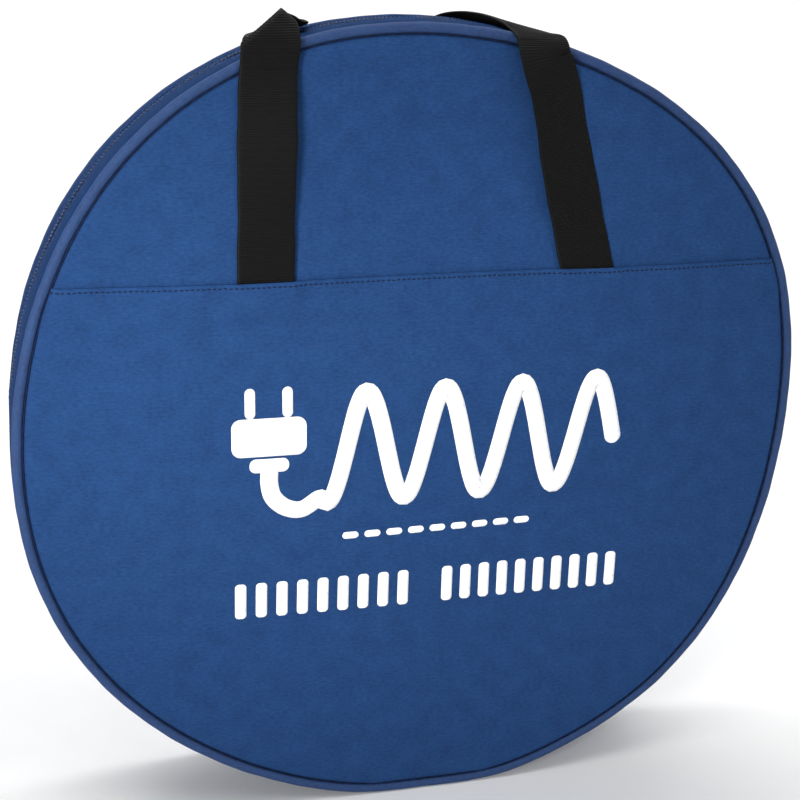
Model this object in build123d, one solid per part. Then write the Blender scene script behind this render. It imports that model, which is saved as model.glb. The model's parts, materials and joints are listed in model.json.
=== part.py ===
from build123d import *
import os
from math import cos, sin, radians, sqrt

# Round zip carry bag for a coiled shore power cable.
# Frame: X to the right seen from the front, Y towards the back, Z up, millimetres.
# Origin: the middle of the flat patch that the bag stands on.

# ---- driving dimensions -------------------------------------------------------------
bag_radius = 200.0          # outside radius over the piping
bag_depth = 70.0            # outside depth, front panel face to rear panel face
base_sag = 3.0              # how much the weight flattens the round base
base_corner_radius = 80.0   # soft corner between the flat patch and the round rim

fabric_t = 1.5              # coated canvas with its foam backing
piping_d = 5.0              # piping, cord and cover together
piping_cord_d = 3.2
piping_flange_t = 0.8       # the piping cover's sewn flange
binding_t = 2.0             # binding tape over the raw edges, inside the bag
allowance_w = 9.0           # width of the seam allowance inside the piping

seam_height = 82.0          # lapped seam above the bag's centre
hem_lap = 12.0              # how far the lower panel laps over the upper one
hem_cover_t = 0.8           # the lower panel's own thickness over a strap end
strap_tuck = 10.0           # length of strap end held under the hem

fold_angle = 50.0           # cover folds on the chord at this angle from the bottom
zip_end_angle = 42.5        # each end of the zip coil, from the bottom
slot_end_angle = 40.0       # each end of the slot that shows the zip
slider_park_angle = 45.0    # closed slider, from the bottom on the right
slot_half = 4.5             # half the width of the slot between the gusset edges

tape_w = 15.0               # zip tape, each side
tape_t = 0.6
coil_w = 2.4                # one row of the coil
coil_h = 2.1
coil_gap_half = 0.8         # half the gap between the two rows
stop_len = 3.0              # end stop, along the zip

slider_len = 11.0
slider_plate_t = 1.2
slider_rail_t = 0.6
slider_post = (3.0, 0.8)    # divider between the rows: length, thickness
arch_len = 7.0              # bridge that holds the pull tab
arch_w = 1.6
arch_wall = 1.3
arch_room = 2.0             # height of the bridge's opening
pull_len = 24.0
pull_w = 7.0
pull_t = 1.4
pull_window = (4.4, 3.2)    # opening near the pull's bar: length, width
pull_hole_d = 2.6
pull_tip_flat = 0.2         # short flat left on the pull's round end
slider_post_inset = 1.0     # divider, back from the slider's nose

web_w = 28.0                # handle webbing
web_t = 1.6
strap_x = 80.0              # strap feet, either side of the middle
front_left_lean = 3.0       # how far each front strap leans inwards at its top
front_right_lean = 27.0
handle_rise = 180.0         # top of a lifted handle above the strap tops
strap_over_rim = 3.0        # front strap tops above the top of the rim
rear_fold_height = 150.0    # where the rear handle folds over, above the bag's centre

# ---- named clearances ---------------------------------------------------------------
run_gap = 0.4               # zip and pull tab, between sliding faces
fold_gap = 0.4              # between pieces on either side of the cover's fold
hinge_gap = 0.4             # between webbing pieces that turn on each other
lay_gap = 0.4               # between layers of webbing that lie on each other
handle_gap = 1.2            # between the two folded handles
cut_past = 1.0              # how far a cutting shape runs past what it cuts

# ---- places worked out from the sizes above -------------------------------------------
centre_z = bag_radius - base_sag
front_y = -bag_depth / 2
rear_y = bag_depth / 2
corner_x = sqrt((bag_radius - base_corner_radius) ** 2 - (centre_z - base_corner_radius) ** 2)
seam_z = centre_z + seam_height
fold_z = centre_z - bag_radius * cos(radians(fold_angle))
slot_end_z = centre_z - bag_radius * cos(radians(slot_end_angle))
zip_end_z = centre_z - bag_radius * cos(radians(zip_end_angle))
gusset_half = bag_depth / 2 - piping_d
strap_top_z = centre_z + bag_radius + strap_over_rim
rear_fold_z = centre_z + rear_fold_height
everywhere = 4 * bag_radius

slider_top_inset = -(coil_h - fabric_t) - run_gap
slider_outer_inset = slider_top_inset - slider_plate_t
slider_bottom_inset = fabric_t + tape_t + run_gap
pull_axis_inset = slider_outer_inset - arch_room / 2
slider_half_w = coil_gap_half + coil_w + run_gap + slider_rail_t


# ---- shapes shared by many pieces -------------------------------------------------------
def rim_wire(inset, y=0.0):
    """The bag's outline, drawn in by inset: a circle with a short flat at the bottom."""
    main_r = bag_radius - inset
    corner_r = base_corner_radius - inset
    reach = bag_radius - base_corner_radius
    ux = corner_x / reach
    uz = (base_corner_radius - centre_z) / reach
    tangent = (main_r * ux, centre_z + main_r * uz)
    bx, bz = ux, uz - 1
    scale = corner_r / sqrt(bx * bx + bz * bz)
    middle = (corner_x + bx * scale, base_corner_radius + bz * scale)
    start = (0, y, inset)
    right_flat = (corner_x, y, inset)
    left_flat = (-corner_x, y, inset)
    right = (tangent[0], y, tangent[1])
    left = (-tangent[0], y, tangent[1])
    return Wire(
        [
            Edge.make_line(start, right_flat),
            Edge.make_three_point_arc(right_flat, (middle[0], y, middle[1]), right),
            Edge.make_three_point_arc(right, (0, y, centre_z + main_r), left),
            Edge.make_three_point_arc(left, (-middle[0], y, middle[1]), left_flat),
            Edge.make_line(left_flat, start),
        ]
    )


def plate(inset, y0, y1):
    """A full disc of the bag's outline between two depths."""
    return extrude(Face(rim_wire(inset, y0)), amount=y1 - y0, dir=(0, 1, 0))


def ring(inset_out, inset_in, y0, y1):
    """A band of the bag's outline between two insets and two depths."""
    return plate(inset_out, y0, y1) - plate(inset_in, y0 - cut_past, y1 + cut_past)


def block(x0, x1, y0, y1, z0, z1):
    size = (x1 - x0, y1 - y0, z1 - z0)
    return Pos((x0 + x1) / 2, (y0 + y1) / 2, (z0 + z1) / 2) * Box(*size)


def above(solid, z):
    return solid & block(-everywhere, everywhere, -everywhere, everywhere, z, everywhere)


def below(solid, z):
    return solid & block(-everywhere, everywhere, -everywhere, everywhere, -everywhere, z)


def cover_side(solid):
    """The stretch that swings with the cover."""
    return above(solid, fold_z + fold_gap / 2)


def foot_side(solid):
    """The stretch that stays with the base."""
    return below(solid, fold_z - fold_gap / 2)


def mirrored(solid):
    """The same piece at the back of the bag."""
    return mirror(solid, about=Plane.XZ)


# ---- panels and seams -------------------------------------------------------------------
def front_panel_upper():
    return above(plate(piping_d, front_y, front_y + fabric_t), seam_z - hem_lap)


def hemmed_sheet():
    """Lower panel with its hem, which laps over the upper panel."""
    sheet = below(plate(piping_d, front_y, front_y + fabric_t), seam_z - hem_lap)
    hem = plate(piping_d, front_y - web_t - hem_cover_t, front_y)
    return sheet + below(above(hem, seam_z - hem_lap - fabric_t), seam_z)


def front_panel_lower():
    """The hem also covers the strap ends, which take their room out of it."""
    return hemmed_sheet() - front_tail(-1) - front_tail(1)


def rear_panel_lower():
    return mirrored(hemmed_sheet()) - rear_tail(-1) - rear_tail(1)


def piping_tube(diameter):
    """A round tube along the front rim."""
    path = rim_wire(piping_d / 2, front_y + piping_d / 2)
    start = Plane(origin=(0, front_y + piping_d / 2, piping_d / 2), z_dir=(1, 0, 0))
    return sweep(start * Circle(diameter / 2), path=path)


def piping_cord():
    return piping_tube(piping_cord_d)


def piping_cover():
    """Bias strip sewn round the cord, with its flange inside the seam."""
    flange_y = front_y + fabric_t
    flange = ring(piping_d / 2, piping_d + allowance_w, flange_y, flange_y + piping_flange_t)
    return piping_tube(piping_d) + flange - piping_tube(piping_cord_d)


def seam_binding():
    start = front_y + fabric_t + piping_flange_t
    return ring(piping_d + fabric_t, piping_d + allowance_w, start, start + binding_t)


# ---- gusset and zip ---------------------------------------------------------------------
def gusset_strip():
    """Front half of the gusset above the fold, from the piping to the zip slot."""
    return cover_side(ring(0, fabric_t, -gusset_half, -slot_half))


def base_gusset():
    """The undivided gusset under the bag, with the two ends of the zip slot."""
    band = foot_side(ring(0, fabric_t, -gusset_half, gusset_half))
    slot = block(-everywhere, everywhere, -slot_half, slot_half, slot_end_z, everywhere)
    return band - slot


def rear_gusset():
    """Rear half of the gusset above the base gusset."""
    return above(ring(0, fabric_t, slot_half, gusset_half), fold_z - fold_gap / 2)


def zip_tape():
    inner = fabric_t + tape_t
    return above(ring(fabric_t, inner, -coil_gap_half - tape_w, -coil_gap_half), slot_end_z)


def zip_coil():
    row_out = -coil_gap_half - coil_w
    return above(ring(fabric_t - coil_h, fabric_t, row_out, -coil_gap_half), zip_end_z)


def rim_place(angle, inset):
    """A place on the rim: x along the rim, z straight out, at an angle from the bottom."""
    out = (sin(radians(angle)), 0, -cos(radians(angle)))
    along = (cos(radians(angle)), 0, sin(radians(angle)))
    reach = bag_radius - inset
    return Plane(origin=(out[0] * reach, 0, centre_z + out[2] * reach), x_dir=along, z_dir=out)


def zip_stops():
    """Staples across both rows, just past each end of the coil."""
    half = coil_gap_half + coil_w
    band = ring(fabric_t - coil_h, fabric_t, -half, half)
    return above(below(band, zip_end_z - run_gap), zip_end_z - run_gap - stop_len)


def slider_body():
    """Two plates either side of the coil, joined by the divider, with the pull's bridge."""
    nose = slider_len / 2
    half = slider_half_w
    under = -slider_bottom_inset
    over = -slider_top_inset
    crown = -slider_outer_inset
    top = block(-nose, nose, -half, half, over, crown)
    bottom = block(-nose, nose, -half, half, under - slider_plate_t, under)
    body = fillet(top.edges().filter_by(Axis.Z), half / 2)
    body += fillet(bottom.edges().filter_by(Axis.Z), half / 2)
    post_len, post_t = slider_post
    post_front = nose - slider_post_inset
    body += block(post_front - post_len, post_front, -post_t / 2, post_t / 2, under, over)
    rail_half = (slider_len - half) / 2
    rail = block(-rail_half, rail_half, half - slider_rail_t, half, -fabric_t / 2, over)
    body += rail + mirrored(rail)
    arch_half = arch_len / 2
    room_half = arch_half - arch_wall
    arch_top = crown + arch_room + arch_wall
    arch = block(-arch_half, arch_half, -arch_w / 2, arch_w / 2, crown, arch_top)
    room = block(-room_half, room_half, -arch_w, arch_w, crown, crown + arch_room)
    return rim_place(slider_park_angle, 0) * (body + (arch - room))


def pull_tab():
    """Flat pull on its bar, lying along the zip, with a window for the slider's bridge."""
    half = pull_w / 2
    blade = block(-pull_len, 0, -half, half, -pull_t / 2, pull_t / 2)
    blade = fillet(blade.edges().filter_by(Axis.Z).group_by(Axis.X)[0], half - pull_tip_flat / 2)
    window = block(-pull_window[0], 0, -pull_window[1] / 2, pull_window[1] / 2, -pull_t, pull_t)
    hole = Pos(-pull_len + half, 0, 0) * Cylinder(pull_hole_d / 2, pull_t * 2)
    bar = Rot(90, 0, 0) * Cylinder(pull_t / 2, pull_w)
    return rim_place(slider_park_angle, pull_axis_inset) * (blade - window - hole + bar)


# ---- handles ------------------------------------------------------------------------------
def front_top_x(side):
    return -strap_x + front_left_lean if side < 0 else strap_x - front_right_lean


def strap_run(foot_x, top_x, y, top):
    """A flat strap up the panel, from under the hem to where it folds over."""
    low = seam_z - strap_tuck
    half = web_w / 2
    corners = [
        (foot_x - half, y, low),
        (foot_x + half, y, low),
        (top_x + half, y, top),
        (top_x - half, y, top),
    ]
    return extrude(Face(Wire.make_polygon(corners)), amount=web_t, dir=(0, 1, 0))


def front_tail(side):
    return strap_run(side * strap_x, front_top_x(side), front_y - web_t, strap_top_z)


def rear_tail(side):
    return strap_run(side * strap_x, side * strap_x, rear_y + lay_gap, rear_fold_z)


# the front handle lies back over the top of the bag, outside the folded rear handle,
# and both reach the same height when they are lifted
bridge_z = strap_top_z + hinge_gap
rear_loop_y = rear_y + web_t + hem_cover_t + lay_gap
front_loop_y = rear_loop_y + web_t + handle_gap
front_hinge_y = front_y - web_t / 2
front_hinge_z = strap_top_z
back_hinge_y = front_loop_y + web_t / 2
back_hinge_z = bridge_z + web_t / 2
rear_hinge_y = (rear_y + lay_gap + rear_loop_y + web_t) / 2
rear_hinge_z = rear_fold_z + hinge_gap / 2
bridge_len = back_hinge_y - front_hinge_y
front_drop = handle_rise - bridge_len
rear_drop = handle_rise + strap_top_z - rear_fold_z


def front_bridge(side):
    x = front_top_x(side)
    half = web_w / 2
    start = front_hinge_y + hinge_gap
    end = back_hinge_y + web_t / 2
    return block(x - half, x + half, start, end, bridge_z, bridge_z + web_t)


def hanging_loop(left_x, right_x, y, top, drop):
    """Two flat legs and a bend that turns edge-on, as webbing does when it hangs."""
    middle = (left_x + right_x) / 2
    radius = (right_x - left_x) / 2
    half = web_w / 2
    bend_z = top - drop + radius
    bend = Cylinder(radius + web_t / 2, web_w) - Cylinder(radius - web_t / 2, web_w)
    bend = Pos(middle, y + half, bend_z) * (Rot(90, 0, 0) * bend)
    loop = below(bend, bend_z + web_t)
    for x in (left_x, right_x):
        loop += block(x - half, x + half, y, y + web_t, bend_z, top)
    return loop


def front_loop():
    left_x = front_top_x(-1)
    right_x = front_top_x(1)
    return hanging_loop(left_x, right_x, front_loop_y, strap_top_z, front_drop)


def rear_loop():
    return hanging_loop(-strap_x, strap_x, rear_loop_y, rear_fold_z, rear_drop)


# ---- the whole bag ------------------------------------------------------------------------
def pieces():
    """Every node's name and shape."""
    cover = piping_cover()
    cord = piping_cord()
    binding = seam_binding()
    tape = zip_tape()
    coil = zip_coil()
    lower = front_panel_lower()
    return {
        "front_upper_panel": front_panel_upper(),
        "front_lower_panel": cover_side(lower),
        "front_panel_foot": foot_side(lower),
        "front_piping_cover": cover_side(cover),
        "front_piping_cover_foot": foot_side(cover),
        "front_piping_cord": cover_side(cord),
        "front_piping_cord_foot": foot_side(cord),
        "front_seam_binding": cover_side(binding),
        "front_seam_binding_foot": foot_side(binding),
        "front_gusset_strip": gusset_strip(),
        "front_zip_tape": cover_side(tape),
        "front_zip_tape_ends": foot_side(tape),
        "front_zip_coil": cover_side(coil),
        "front_zip_coil_ends": foot_side(coil),
        "base_gusset": base_gusset(),
        "rear_gusset_strip": rear_gusset(),
        "rear_upper_panel": mirrored(front_panel_upper()),
        "rear_lower_panel": rear_panel_lower(),
        "rear_piping_cover": mirrored(cover),
        "rear_piping_cord": mirrored(cord),
        "rear_seam_binding": mirrored(binding),
        "rear_zip_tape": mirrored(tape),
        "rear_zip_coil": mirrored(coil),
        "zip_end_stops": zip_stops(),
        "zip_slider_body": slider_body(),
        "zip_pull_tab": pull_tab(),
        "front_handle_tails": Compound(children=[front_tail(-1), front_tail(1)]),
        "front_handle_bridge": Compound(children=[front_bridge(-1), front_bridge(1)]),
        "front_handle_loop": front_loop(),
        "rear_handle_tails": Compound(children=[rear_tail(-1), rear_tail(1)]),
        "rear_handle_loop": rear_loop(),
    }


os.makedirs("parts", exist_ok=True)
for name, shape in pieces().items():
    export_step(shape, f"parts/{name}.step")

print("cover fold axis: y", front_y, "z", round(fold_z, 3))
print("front handle axis: y", round(front_hinge_y, 3), "z", round(front_hinge_z, 3))
print("loop axis: y", round(back_hinge_y, 3), "z", round(back_hinge_z, 3))
print("rear handle axis: y", round(rear_hinge_y, 3), "z", round(rear_hinge_z, 3))
pull_axis = rim_place(slider_park_angle, pull_axis_inset).origin
print("pull axis: x", round(pull_axis.X, 3), "z", round(pull_axis.Z, 3))
print("zip travel centre z", centre_z, "end of travel", 360 - 2 * slider_park_angle)
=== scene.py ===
import json
import random
from math import acos, atan2, cos, pi, radians, sin, tan

import bmesh
import bpy
import numpy as np
from mathutils import Matrix, Vector


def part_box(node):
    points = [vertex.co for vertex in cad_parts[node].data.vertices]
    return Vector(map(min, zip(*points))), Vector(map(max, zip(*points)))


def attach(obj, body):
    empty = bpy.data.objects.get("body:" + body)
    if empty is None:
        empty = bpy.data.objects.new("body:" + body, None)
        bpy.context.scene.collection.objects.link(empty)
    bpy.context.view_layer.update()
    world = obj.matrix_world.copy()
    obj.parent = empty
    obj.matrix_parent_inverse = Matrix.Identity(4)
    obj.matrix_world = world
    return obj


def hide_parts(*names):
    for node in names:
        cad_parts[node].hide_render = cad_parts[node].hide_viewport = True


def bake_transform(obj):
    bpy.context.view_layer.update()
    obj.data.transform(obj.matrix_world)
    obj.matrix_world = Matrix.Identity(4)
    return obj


# A flat round zip bag for a coiled power cable, in padded polyester canvas with webbing handles.
# Metres, in the part's own frame: X to the right seen from the front, Y to the back, Z up.
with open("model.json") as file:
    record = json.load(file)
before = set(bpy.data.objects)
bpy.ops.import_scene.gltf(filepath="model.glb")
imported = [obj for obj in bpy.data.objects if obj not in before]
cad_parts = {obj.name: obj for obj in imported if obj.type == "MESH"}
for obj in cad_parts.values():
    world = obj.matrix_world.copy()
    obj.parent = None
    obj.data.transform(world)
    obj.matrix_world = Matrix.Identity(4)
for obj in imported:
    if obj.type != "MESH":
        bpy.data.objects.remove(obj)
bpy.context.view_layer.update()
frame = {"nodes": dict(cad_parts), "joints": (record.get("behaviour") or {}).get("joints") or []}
mm = 0.001


# ---- places and sizes taken from the frame
def joint_place(name):
    return Vector(next(j["pos_m"] for j in frame["joints"] if j["name"] == name))


rim_low, rim_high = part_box("front_gusset_strip")
bag_radius = rim_high.x
centre_z = rim_high.z - bag_radius
front_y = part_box("front_upper_panel")[0].y
rear_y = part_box("rear_upper_panel")[1].y
piping_d = bag_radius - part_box("front_lower_panel")[1].x
slot_half = -rim_high.y
seam_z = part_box("front_lower_panel")[1].z
fold = joint_place("cover_open")
rear_fold = joint_place("rear_handle_lift")
slot_end_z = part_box("front_zip_tape_ends")[0].z
zip_end_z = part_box("front_zip_coil_ends")[0].z
zip_tape_inset = bag_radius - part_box("rear_zip_tape")[1].x
coil_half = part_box("rear_zip_coil")[1].y
tails_low, tails_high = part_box("front_handle_tails")
loop_low, loop_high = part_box("front_handle_loop")
bridge_low, bridge_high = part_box("front_handle_bridge")
web_w = loop_high.y - loop_low.y
web_t = tails_high.y - tails_low.y
strap_x = tails_high.x - web_w / 2
left_top_x = bridge_low.x + web_w / 2
right_top_x = bridge_high.x - web_w / 2

# ---- sizes of the sewing
canvas_t = 0.75 * mm        # one layer of canvas with its foam backing
hem_lap = 12 * mm           # how far the lower panel's hem laps over the upper panel
hem_step = 1.7 * mm         # how far the hem stands proud of the upper panel
piping_r = piping_d / 2
panel_inset = piping_d - 0.5 * mm    # where the panels run in beside the piping
tape_t = 0.6 * mm
stitch_pitch = 2.5 * mm     # topstitch on the lapped seam
zip_stitch_pitch = 3.4 * mm
stitch_inset = 2.0 * mm     # topstitch below the hem's edge
thread_r = 0.25 * mm
rib_pitch = 1.04 * mm       # cross ribs of the webbing
rib_rise = 0.17 * mm
weave_pitch = 0.9 * mm      # the canvas's weave as drawn
coil_pitch = 1.9 * mm
coil_wire_r = 0.32 * mm
ink_t = 0.12 * mm

# soft departures of the rims from a circle: waves round the rim, cosine and sine share in mm
front_waves = ((2, -0.2, -0.2), (3, 0.3, 0.8), (4, -1.6, 1.8))
rear_waves = ((2, -0.3, -0.2), (3, 0.4, 0.5), (4, -0.7, -0.2))
# soft dents: where round the rim in degrees from the bottom, how deep in mm, and how wide in degrees
front_dents = ((90, 3.0, 21), (27, 2.0, 14), (318, 2.0, 24))
rear_dents = ((180, 3.5, 43), (255, 3.8, 48), (90, 2.0, 21))
settle_soft = 1.5 * mm      # how softly the rim flattens on the floor


# ---- the bag's soft outline
def turn_of(height):
    """The angle from the bottom where a plain round rim passes a height."""
    return acos((centre_z - height) / bag_radius)


def smooth(value, low, high):
    t = np.clip((np.asarray(value, float) - low) / (high - low), 0, 1)
    return t * t * (3 - 2 * t)


def bell(value, middle, width):
    return np.exp(-(((np.asarray(value, float) - middle) / width) ** 2))


def rim_waves(angle, whole, waves, dents):
    swing = sum(c * np.cos(k * angle) + s * np.sin(k * angle) for k, c, s in waves)
    return swing - sum(depth * bell(whole, place, width) for place, depth, width in dents)


def rim_reach(turn, back):
    """Distance from the bag's centre to the rim, at an angle from the bottom. back is 0 to 1."""
    at = np.asarray(turn, float) - pi / 2, np.mod(np.degrees(turn), 360)
    front, rear = rim_waves(*at, front_waves, front_dents), rim_waves(*at, rear_waves, rear_dents)
    return bag_radius + (front * (1 - back) + rear * back) * mm


def outline(turn, inset, y):
    """A place near the rim: angle from the bottom, distance inside the rim, and depth."""
    turn, inset, y = np.broadcast_arrays(*(np.asarray(v, float) for v in (turn, inset, y)))
    back = np.clip((y - front_y) / (rear_y - front_y), 0, 1)
    reach = rim_reach(turn, back) - inset
    height = centre_z - reach * np.cos(turn) - inset
    soft = 2 * settle_soft
    settled = np.where(height < soft, (np.maximum(height, -soft) + soft) ** 2 / (4 * soft), height)
    return np.stack([reach * np.sin(turn), y, settled + inset], axis=-1)


def plane_y(back):
    """The depth of the front plane at 0 and of the rear plane at 1."""
    return front_y + back * (rear_y - front_y)


def rim_gap(x, z, back):
    """How far a place on a panel lies inside the rim."""
    rise = z - centre_z
    turn = np.arctan2(x, -rise)
    return np.minimum(rim_reach(turn, back) - np.hypot(x, rise), z)


def turn_at(height, back, side):
    """The angle from the bottom where a panel's edge passes a height, on the right or the left."""
    turns = np.linspace(0.3, pi - 0.3, 2000)
    heights = outline(side * turns, panel_inset, plane_y(back))[:, 2]
    return side * float(np.interp(height, heights, turns))


def ripples(x, z, seed):
    """Slow soft waves of a padded panel that lies slack, between about -1 and 1."""
    draw = random.Random(seed)
    total = np.zeros_like(np.asarray(x, float) + z)
    for count in range(9):
        heading = draw.uniform(0, pi)
        length = draw.uniform(0.05, 0.16)
        phase = draw.uniform(0, 2 * pi)
        along = x * cos(heading) + z * sin(heading)
        total = total + np.sin(along * 2 * pi / length + phase) * length / 0.16
    return total / 3.5


def edge_roll(gap):
    """The panel's edge turns in beside the piping, leaving a narrow groove."""
    past = np.maximum(gap - panel_inset, 0) / mm
    return (4.4 * np.exp(-((past / 1.15) ** 1.5)) + 0.7 * np.exp(-((past / 4.5) ** 1.5))) * mm


def front_swell(x, z):
    """How far the front panels stand out from the front plane."""
    gap = rim_gap(x, z, 0)
    free = smooth(gap, 6 * mm, 70 * mm)
    high = z - centre_z
    belly = 6.5 * mm * bell(high, 0.030, 0.105) * bell(x, -0.02, 0.19)
    dish = 9.5 * mm * bell(high, 0.130, 0.062) * bell(x, 0.012, 0.062)
    pleat = 1.2 * mm * bell(x, -0.012, 0.020) * smooth(high, 0.095, 0.15)
    slack = 0.8 * mm * ripples(x, z, 5)
    return (belly - dish - pleat + slack) * free - edge_roll(gap) + 0.6 * mm


def rear_swell(x, z):
    gap = rim_gap(x, z, 1)
    free = smooth(gap, 6 * mm, 70 * mm)
    belly = 3.5 * mm * bell(z - centre_z, -0.02, 0.12)
    return (belly + 0.9 * mm * ripples(x, z, 11)) * free - edge_roll(gap) + 0.4 * mm


def hem_swell(x, z):
    """Extra rise of a lower panel over the upper one, and over the two strap ends."""
    over = hem_step * smooth(z, seam_z - 27 * mm, seam_z - 13 * mm)
    beside = np.abs(np.abs(x) - strap_x) - web_w / 2
    strap = smooth(-beside, -5 * mm, 1 * mm) * smooth(z, seam_z - 20 * mm, seam_z - 8 * mm)
    return over + web_t * strap


def front_lower_swell(x, z):
    return front_swell(x, z) + hem_swell(x, z)


def rear_lower_swell(x, z):
    return rear_swell(x, z) + hem_swell(x, z)


# ---- mesh building
def quads(points, uv, closed_u=False, closed_v=False):
    """A sheet of quads over a grid of points. A closed direction has one more row of uv."""
    nu, nv = points.shape[:2]
    iu = np.arange(nu if closed_u else nu - 1)
    iv = np.arange(nv if closed_v else nv - 1)
    a, b = (v.ravel() for v in np.meshgrid(iu, iv, indexing="ij"))
    corners = ((a, b), (a + 1, b), (a + 1, b + 1), (a, b + 1))
    faces = np.stack([(i % nu) * nv + j % nv for i, j in corners], axis=1)
    loops = np.stack([uv[i, j] for i, j in corners], axis=1)
    return points.reshape(-1, 3), faces, loops.reshape(-1, 2)


def add_object(name, data):
    made = bpy.data.objects.new(name, data)
    bpy.context.scene.collection.objects.link(made)
    return made


def make_piece(name, parts, finishes, solid=0.0, weld=True, outward=False):
    """One object from parts of quads. solid gives an open sheet its thickness, inwards."""
    counts = np.cumsum([0] + [len(p[0]) for p in parts])
    verts = np.concatenate([p[0] for p in parts])
    faces = np.concatenate([p[1] + c for p, c in zip(parts, counts)])
    loops = np.concatenate([p[2] for p in parts])
    mesh = bpy.data.meshes.new(name)
    mesh.vertices.add(len(verts))
    mesh.vertices.foreach_set("co", verts.astype(np.float32).ravel())
    mesh.loops.add(faces.size)
    mesh.loops.foreach_set("vertex_index", faces.astype(np.int32).ravel())
    mesh.polygons.add(len(faces))
    mesh.polygons.foreach_set("loop_start", np.arange(0, faces.size, 4, dtype=np.int32))
    layer = mesh.uv_layers.new(name="weave")
    layer.data.foreach_set("uv", loops.astype(np.float32).ravel())
    mesh.update()
    mesh.validate()
    if weld or outward:
        work = bmesh.new()
        work.from_mesh(mesh)
        if weld:
            bmesh.ops.remove_doubles(work, verts=work.verts, dist=1e-6)
        if outward:
            bmesh.ops.recalc_face_normals(work, faces=work.faces)
        work.to_mesh(mesh)
        work.free()
    mesh.shade_smooth()
    made = add_object(name, mesh)
    for finish in finishes:
        mesh.materials.append(finish)
    if solid:
        shell = made.modifiers.new("thickness", "SOLIDIFY")
        shell.thickness = solid
        shell.offset = -1
        shell.use_even_offset = False
        if len(finishes) > 1:
            shell.material_offset = 1
            shell.material_offset_rim = 0
    return made


def settle(piece, slot, body, *nodes):
    """Hides the CAD nodes that a piece stands for, and sets what it moves with. slot is not used."""
    if nodes:
        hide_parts(*nodes)
    if body == "cover fold":
        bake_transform(piece)
    elif body:
        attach(piece, body)


def spaced(count, crowd):
    """0 to 1, closer together at both ends by the share crowd."""
    t = np.linspace(0, 1, count)
    return (1 - crowd) * t + crowd * (0.5 - 0.5 * np.cos(pi * t))


def coons(bottom, top, left, right):
    """Fills four border lines of (x, z) with a grid. left and right run upwards."""
    u, v = travelled(bottom)[:, None, None], travelled(left)[None, :, None]
    u, v = u / u.max(), v / v.max()
    ruled = (1 - v) * bottom[:, None] + v * top[:, None] + (1 - u) * left[None] + u * right[None]
    corners = (1 - u) * (1 - v) * bottom[0] + u * (1 - v) * bottom[-1]
    corners = corners + (1 - u) * v * top[0] + u * v * top[-1]
    return ruled - corners


def uv_grid(along, across):
    return np.stack(np.meshgrid(along, across, indexing="ij"), axis=-1)


def travelled(line):
    """The distance along a line at each of its points."""
    return np.concatenate([[0], np.cumsum(np.linalg.norm(np.diff(line, axis=0), axis=1))])


def smooth_line(points, step):
    """A Catmull-Rom line through rows of values, resampled evenly by its first three columns."""
    points = np.asarray(points, float)
    ends = [2 * points[0] - points[1], *points, 2 * points[-1] - points[-2]]
    fine = []
    for p0, p1, p2, p3 in zip(ends, ends[1:], ends[2:], ends[3:]):
        t = np.linspace(0, 1, 40, endpoint=False)[:, None]
        fine.append(
            0.5 * (2 * p1 + (p2 - p0) * t + (2 * p0 - 5 * p1 + 4 * p2 - p3) * t**2
                   + (3 * p1 - p0 - 3 * p2 + p3) * t**3)
        )
    line = np.concatenate([*fine, points[-1:]])
    along = travelled(line[:, :3])
    at = np.linspace(0, along[-1], int(round(along[-1] / step)) + 1)
    return np.stack([np.interp(at, along, line[:, k]) for k in range(line.shape[1])], axis=1), at


def unit(rows):
    return rows / np.linalg.norm(rows, axis=-1, keepdims=True)


def close_ends(verts, faces, loops, sides, flip):
    """Closes both ends of a tube of an even number of sides with quads."""
    caps = []
    for first, turned in ((0, flip), (len(verts) - sides, not flip)):
        for i in range(sides // 2 - 1):
            cap = [first + i, first + i + 1, first + sides - 2 - i, first + sides - 1 - i]
            caps.append(cap[::-1] if turned else cap)
    return verts, np.concatenate([faces, caps]), np.concatenate([loops, np.zeros((4 * len(caps), 2))])


def tube(path, radius, sides=6, closed=False):
    """A round tube along a path."""
    path = np.asarray(path, float)
    if closed:
        along = unit(np.roll(path, -1, 0) - np.roll(path, 1, 0))
    else:
        along = unit(np.gradient(path, axis=0))
    side = np.cross(along, np.roll(along, 1, axis=1) + [0.1, 0.3, 0.7])
    aim = unit(np.cross(along[0], side[0]))
    first = np.zeros_like(path)
    for i, forward in enumerate(along):
        aim = aim - forward * (aim @ forward)
        aim = aim / np.linalg.norm(aim)
        first[i] = aim
    second = np.cross(along, first)
    angles = np.linspace(0, 2 * pi, sides, endpoint=False)
    ring = first[:, None] * np.cos(angles)[:, None] + second[:, None] * np.sin(angles)[:, None]
    points = path[:, None] + ring * radius
    travel = travelled(np.concatenate([path, path[:1]]))
    around = np.linspace(0, 2 * pi, sides + 1) * radius
    part = quads(points, uv_grid(travel, around), closed_u=closed, closed_v=True)
    return part if closed else close_ends(*part, sides, True)


def rim_sheet(turns, profile, closed=False, closed_profile=False, wander=None):
    """A strip swept along the rim. profile is rows of (inset, depth) in metres."""
    inset, depth = np.asarray(profile, float).T[:, None]
    if wander:
        shift_inset, shift_depth = wander(turns[:, None], inset, depth)
        inset, depth = inset + shift_inset, depth + shift_depth
    points = outline(turns[:, None], inset, depth)
    across = travelled(np.concatenate([profile, profile[:1]]))
    travel = turns * bag_radius
    if closed:
        travel = np.append(travel, travel[0] + 2 * pi * bag_radius)
    if not closed_profile:
        across = across[:-1]
    return quads(points, uv_grid(travel, across), closed_u=closed, closed_v=closed_profile)


# ---- materials
def colour(code):
    """An sRGB hex colour as linear RGBA."""
    parts = [int(code[i:i + 2], 16) / 255 for i in (1, 3, 5)]
    return (*(c / 12.92 if c <= 0.04045 else ((c + 0.055) / 1.055) ** 2.4 for c in parts), 1.0)


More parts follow.
